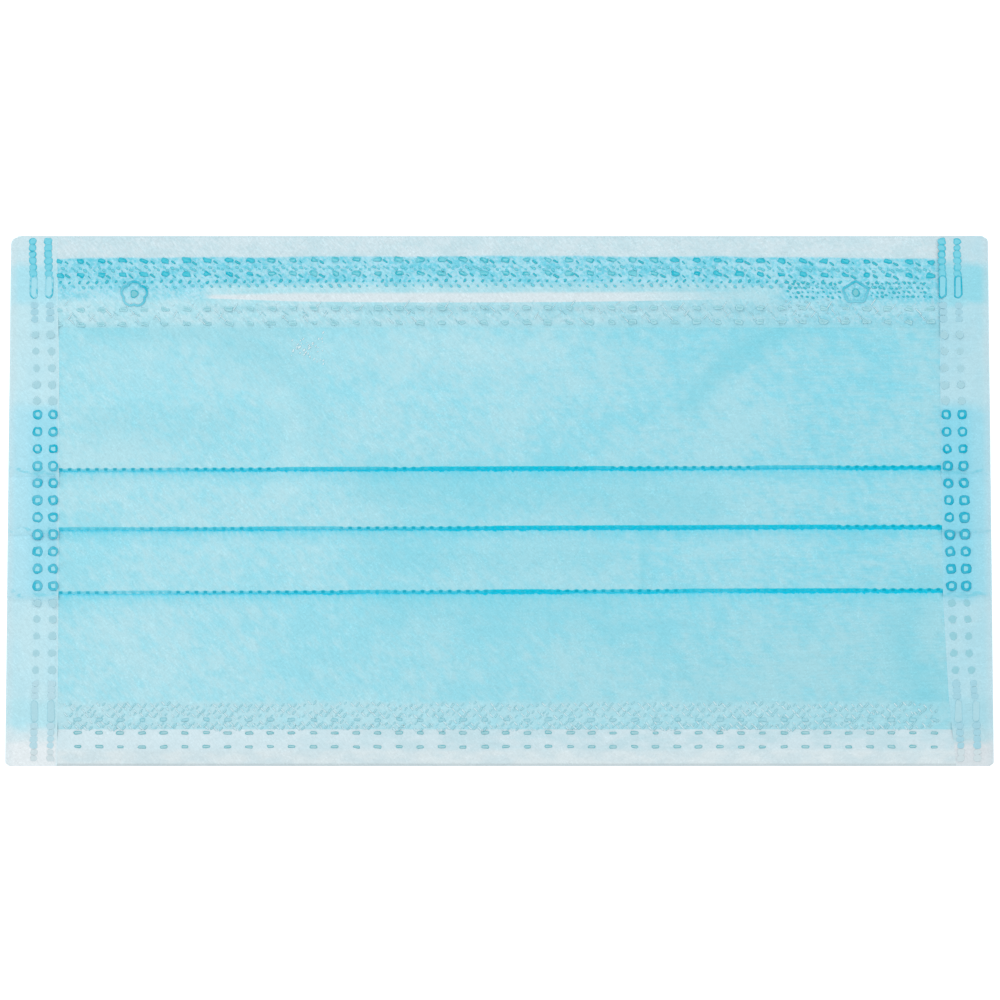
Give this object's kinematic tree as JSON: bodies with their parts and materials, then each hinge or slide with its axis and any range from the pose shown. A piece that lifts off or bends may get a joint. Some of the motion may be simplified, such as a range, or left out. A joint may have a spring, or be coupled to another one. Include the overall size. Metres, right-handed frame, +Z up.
{
  "type": "surgical face mask",
  "caption": "Flat unworn pleated face mask with folded hems, a stiff nose strip, welded side tapes and flat elastic ear loops tucked behind it.",
  "frame": {"origin": "on the surface that the mask lies on, under the middle of its outline", "axes": "+X along the mask towards the side tape on the right as seen from the front, +Y towards the nose edge, +Z up out of the front face"},
  "size_m": [0.175, 0.0938, 0.0049],
  "materials": {
    "blue_cloth": "matt spunbond nonwoven",
    "white_cloth": "matt translucent nonwoven",
    "tape_cloth": "matt translucent nonwoven over the blue cloth",
    "wire_cover": "matt",
    "elastic": "knitted elastic"
  },
  "bodies": {
    "root": {"pleated_panel": "blue_cloth", "top_hem": "white_cloth", "bottom_hem": "white_cloth", "nose_wire": "wire_cover", "side_tape_left": "tape_cloth", "side_tape_right": "tape_cloth", "ear_loop_left": "elastic", "ear_loop_right": "elastic"}
  },
  "joints": []
}
